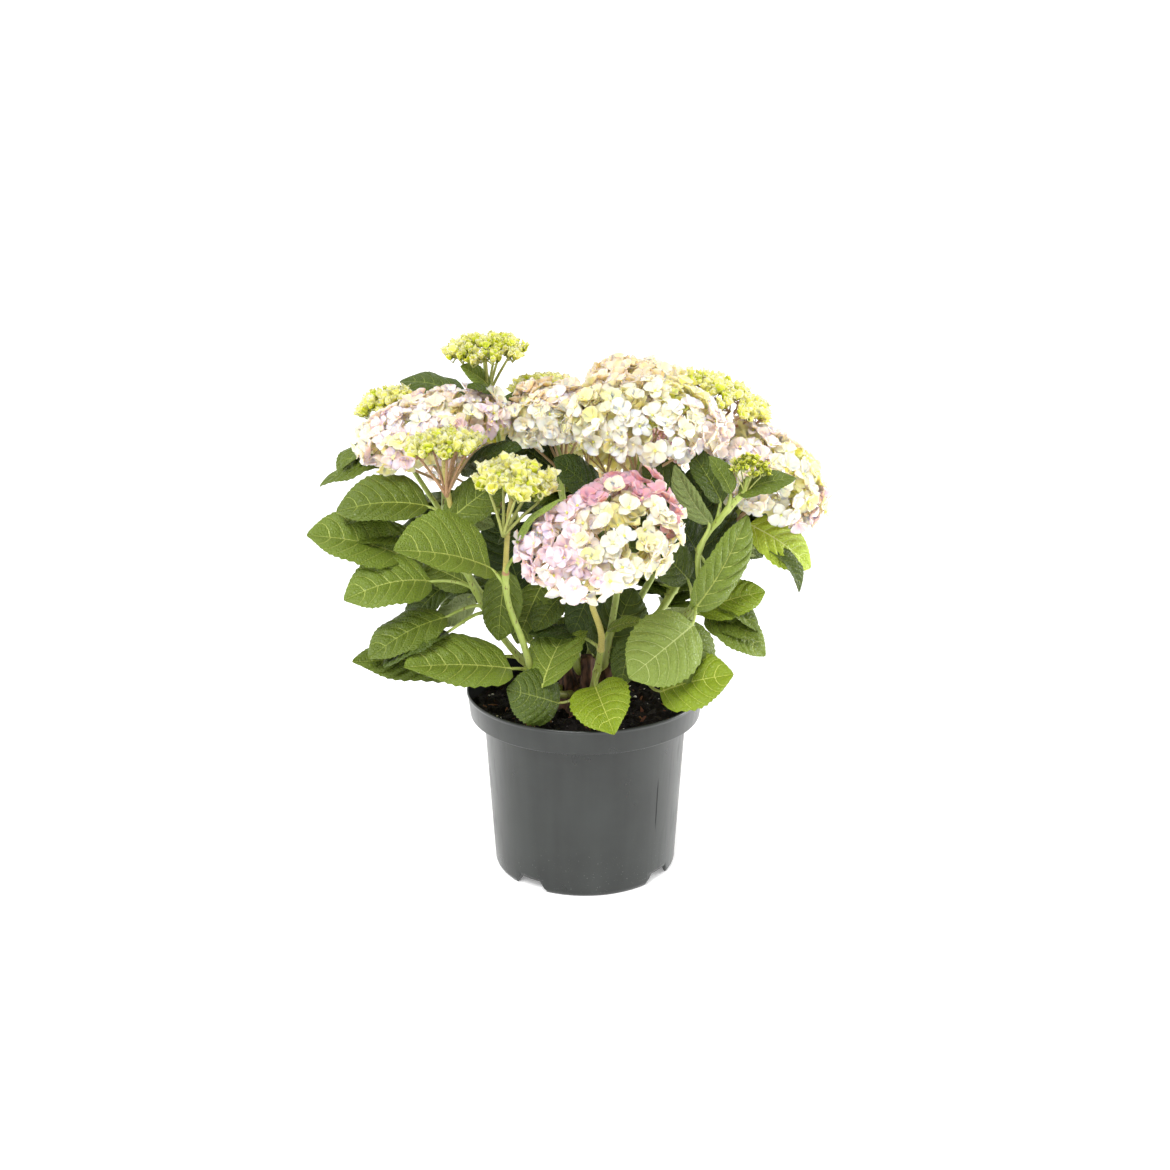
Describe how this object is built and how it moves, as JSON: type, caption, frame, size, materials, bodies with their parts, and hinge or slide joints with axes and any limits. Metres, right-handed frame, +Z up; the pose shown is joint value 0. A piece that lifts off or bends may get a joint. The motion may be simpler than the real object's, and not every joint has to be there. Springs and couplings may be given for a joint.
{
  "type": "potted hydrangea shrub",
  "caption": "Bigleaf hydrangea shrub in a round nursery pot, with green stems, broad toothed leaves and domed heads of flowers and buds.",
  "frame": {"origin": "on the ground, at the middle of the pot's flat underside", "axes": "+Z up, -Y to the front, +X to the right of someone who looks at the front"},
  "size_m": [0.4776, 0.4211, 0.5073],
  "materials": {
    "pot_plastic": "satin",
    "compost": "matte",
    "old_wood": "matte",
    "green_stem": "satin",
    "leaf": "satin",
    "bloom": "matte",
    "buds": "matte"
  },
  "bodies": {
    "root": {"compost": "compost", "head_bloom_back": "bloom", "head_bloom_back_left": "bloom", "head_bloom_front": "bloom", "head_bloom_left": "bloom", "head_bloom_middle": "bloom", "head_bloom_middle_back": "bloom", "head_bloom_middle_left": "bloom", "head_bloom_right": "bloom", "head_buds_back_right": "buds", "head_buds_far_left": "buds", "head_buds_front": "buds", "head_buds_left": "buds", "head_buds_middle": "buds", "head_buds_right": "buds", "head_buds_small": "buds", "head_buds_top": "buds", "leaves_back": "leaf", "leaves_back_foot_left": "leaf", "leaves_back_foot_right": "leaf", "leaves_back_left": "leaf", "leaves_back_right": "leaf", "leaves_front_foot": "leaf", "leaves_front_left": "leaf", "leaves_left_back": "leaf", "leaves_left_foot": "leaf", "leaves_left_front": "leaf", "leaves_left_low": "leaf", "leaves_left_top": "leaf", "leaves_left_upper": "leaf", "leaves_middle": "leaf", "leaves_middle_left": "leaf", "leaves_right_front": "leaf", "leaves_right_low": "leaf", "leaves_right_middle": "leaf", "leaves_right_outer": "leaf", "leaves_right_rim": "leaf", "leaves_right_tip": "leaf", "leaves_right_top": "leaf", "leaves_rim_front": "leaf", "pot": "pot_plastic", "stem_back": "green_stem", "stem_back_left": "green_stem", "stem_far_left": "green_stem", "stem_far_right": "green_stem", "stem_front": "green_stem", "stem_front_left": "green_stem", "stem_left": "green_stem", "stem_left_front": "green_stem", "stem_middle": "green_stem", "stem_middle_back": "green_stem", "stem_middle_back_left": "green_stem", "stem_middle_left": "green_stem", "stem_right": "green_stem", "stem_right_back": "green_stem", "stem_right_front": "green_stem", "stem_tall": "green_stem", "woody_base": "old_wood"}
  },
  "joints": []
}
